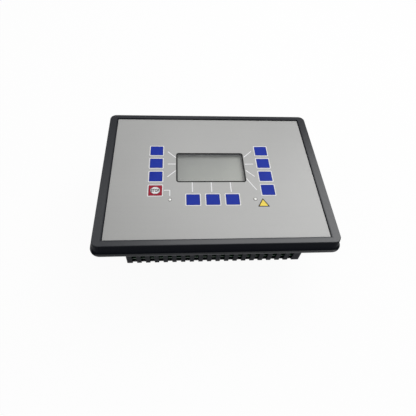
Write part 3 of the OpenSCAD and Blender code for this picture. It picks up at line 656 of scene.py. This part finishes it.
# slotted clamp screws and wire cages of the plug-in terminals
terminals = {
    "poles": 12, "pitch": 0.00508, "blockPitch": 0.067, "plugDepth": 0.014,
    "screwLevel": 0.0075, "screwRadius": 0.0015, "screwLength": 0.0022, "screwEdge": 0.00025,
    "screwSunk": 0.0011, "slot": (0.0036, 0.0005, 0.0006),
    "cage": (0.0024, 0.0032), "cageWall": 0.0005, "cageCorner": 0.0003, "cageLength": 0.003,
    "cageSunk": 0.0016,
}


def makeClampScrew():
    screw = makeRod(terminals["screwRadius"], -terminals["screwLength"], 0.0, sides=16)
    bevelEnd(screw, 0.0, terminals["screwEdge"])
    cutWith(screw, makeBar(terminals["slot"], 0.0))
    screw.rotation_euler = (-math.pi / 2, 0, 0)  # the head looks along +Y
    applyPlace(screw)
    return screw


def polePlaces():
    for block in (-1, 0, 1):
        for pole in range(terminals["poles"]):
            step = pole - (terminals["poles"] - 1) / 2
            yield block * terminals["blockPitch"] + step * terminals["pitch"]


def makeTerminalFittings():
    low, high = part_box("terminal_plugs")
    head = high.y - terminals["screwSunk"]
    row = high.y - terminals["plugDepth"] / 2
    screwLevel = low.z + terminals["screwLevel"]
    cageLevel = low.z + terminals["cageSunk"]
    screws, cages = [], []
    for side, turn in ((-1, math.pi), (1, 0.0)):
        for x in polePlaces():
            screws.append(((x, side * head, screwLevel), turn))
            cages.append(((x, side * row, cageLevel), 0.0))
    dress(copyAll("clampScrews", makeClampScrew(), screws), brightSteel, "unit")
    cage = makeFrame(terminals["cage"], terminals["cageWall"], terminals["cageCorner"],
                     terminals["cageLength"])
    dress(copyAll("wireCages", cage, cages), brightSteel, "unit")
    print("stage: terminal fittings", len(screws), len(cages))


makeTerminalFittings()


# contacts and jack screws of the four ports
ports = {
    "across": 0.1085, "along": 0.023, "wallDepth": 0.0055,
    "rows": ((-0.00142, 5), (0.00142, 4)), "pitch": 0.00277,
    "contactBore": 0.00055, "contactRim": 0.0003, "contactProud": 0.0002,
    "jackSpan": 0.0125, "jackWidth": 0.005, "jackLength": 0.0052, "jackSunk": 0.0001, "jackEdge": 0.0004,
    "jackBore": 0.0015,
}


def makeContact():
    deselect()
    bpy.ops.mesh.primitive_circle_add(vertices=12, radius=ports["contactBore"] + ports["contactRim"],
                                      fill_type="NGON")
    piece = bpy.context.object
    openMiddle(piece, ports["contactRim"])
    thicken(piece, 2 * ports["contactProud"])
    return piece


def makeJackScrew():
    length = ports["jackLength"]
    jack = makeRod(ports["jackWidth"] / 2 / math.cos(math.pi / 6), 0.0, length, sides=6)
    bevelEnd(jack, 0.0, ports["jackEdge"])
    cutWith(jack, makeRod(ports["jackBore"], -length / 2, length / 2, sides=24))
    return jack


def makePortFittings():
    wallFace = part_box("port_shells")[0].z + ports["wallDepth"]  # the housing's outer face at the ports
    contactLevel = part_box("port_inserts")[0].z - ports["contactProud"]
    jackLevel = wallFace - ports["jackLength"] + ports["jackSunk"]
    contacts, jacks = [], []
    for x in (-ports["across"], ports["across"]):
        for y in (-ports["along"], ports["along"]):
            for offset, count in ports["rows"]:
                for i in range(count):
                    step = i - (count - 1) / 2
                    contacts.append(((x + offset, y + step * ports["pitch"], contactLevel), 0.0))
            for side in (-1, 1):
                jacks.append(((x, y + side * ports["jackSpan"], jackLevel), 0.0))
    dress(copyAll("portContacts", makeContact(), contacts), turnedBrass, "unit")
    dress(copyAll("jackScrews", makeJackScrew(), jacks), brightSteel, "unit")
    print("stage: port fittings", len(contacts), len(jacks))


makePortFittings()


# housing screws with a cross recess, in place of the plain ones
housingScrew = {"headRadius": 0.00275, "headLength": 0.002, "headEdge": 0.0006, "shank": 0.0014,
                "tip": 0.0005, "recess": (0.0030, 0.0007, 0.0011), "turn": 0.3}


def makeHousingScrews():
    low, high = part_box("housing_screws")
    radius, headLength, length = housingScrew["headRadius"], housingScrew["headLength"], high.z - low.z
    head = makeRod(radius, 0.0, headLength, sides=40)
    bevelEnd(head, 0.0, housingScrew["headEdge"], segments=4)
    for turn in (math.pi / 4, math.pi * 3 / 4):
        cutWith(head, makeBar(housingScrew["recess"], turn))
    shank = makeRod(housingScrew["shank"], headLength, length, sides=24)
    bevelEnd(shank, length, housingScrew["tip"])
    screw = joinAs("housingScrew", [head, shank])
    across, along = high.x - radius, high.y - radius
    places = [((ix * across, iy * along, low.z), housingScrew["turn"] * ix * iy)
              for ix in (-1, 1) for iy in (-1, 1)]
    screws = copyAll("housingScrews", screw, places)
    dress(screws, brightSteel, "unit")
    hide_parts("housing_screws")
    print("stage: housing screws", len(places))


makeHousingScrews()


# floor, light and camera
studio = {
    "floorSize": 6.0, "floorLevel": -0.0003, "floorTones": (tone(240, 240, 240), tone(246, 246, 246)),
    "floorGlow": 0.95, "fill": 0.36,
    "lamps": [  # name, place, size, power
        ("overheadSoft", (0.36, 0.42, 1.1), (1.56, 0.5), 7.6),
        ("rightSoft", (0.90, 0.86, 1.12), (0.6, 0.5), 4.6),
        ("leftSoft", (-1.0, 0.6, 1.1), (1.0, 1.0), 0.6),
    ],
    "aim": (0, 0, 0.05),
    "place": (-0.04249, -0.29026, 0.42727), "turn": (35.594, -3.401, -3.100),
    "lens": 30.34, "sensor": 36, "nearest": 0.01,
}


def seenDirectly(tree):
    rays = tree.nodes.new("ShaderNodeLightPath").outputs
    seen = Link(tree, rays["Is Camera Ray"])
    for kind in ("Is Glossy Ray", "Is Transmission Ray"):
        seen = seen.either(Link(tree, rays[kind]))
    return seen


def makeFloor():
    deselect()
    bpy.ops.mesh.primitive_plane_add(size=studio["floorSize"], location=(0, 0, studio["floorLevel"]))
    floor = bpy.context.object
    floor.name = "studioFloor"
    material, shader, place = startFinish("paleFloor", Roughness=0.9, Specular_IOR_Level=0.0)
    tree = material.node_tree
    place.noise(2.0).tint(*studio["floorTones"]).into(shader, "Base Color")
    glow = tree.nodes.new("ShaderNodeEmission")
    blend = tree.nodes.new("ShaderNodeMixShader")
    tree.links.new((seenDirectly(tree) * studio["floorGlow"]).socket, blend.inputs[0])
    tree.links.new(shader.outputs[0], blend.inputs[1])
    tree.links.new(glow.outputs[0], blend.inputs[2])
    tree.links.new(blend.outputs[0], tree.nodes["Material Output"].inputs["Surface"])
    floor.data.materials.append(material)


def makeWorld():
    world = bpy.data.worlds.new("studioWorld")
    world.use_nodes = True
    tree = world.node_tree
    background = tree.nodes["Background"]
    background.inputs["Color"].default_value = (1, 1, 1, 1)
    (seenDirectly(tree) * (1 - studio["fill"]) + studio["fill"]).into(background, "Strength")
    bpy.context.scene.world = world


def makeLamps():
    for name, place, size, power in studio["lamps"]:
        deselect()
        bpy.ops.object.light_add(type="AREA", location=place)
        lamp = bpy.context.object
        lamp.name = name
        lamp.data.shape = "RECTANGLE"
        lamp.data.size, lamp.data.size_y = size
        lamp.data.energy = power
        reach = Vector(studio["aim"]) - Vector(place)
        lamp.rotation_euler = reach.to_track_quat("-Z", "Y").to_euler()


def makeCamera():
    deselect()
    turn = [math.radians(angle) for angle in studio["turn"]]
    bpy.ops.object.camera_add(location=studio["place"], rotation=turn)
    camera = bpy.context.object
    camera.name = "photoView"
    camera.data.lens = studio["lens"]
    camera.data.sensor_width = studio["sensor"]
    camera.data.clip_start = studio["nearest"]
    bpy.context.scene.camera = camera


makeFloor()
makeWorld()
makeLamps()
makeCamera()
bpy.context.scene.view_settings.view_transform = "Standard"
print("stage: floor, light and camera")
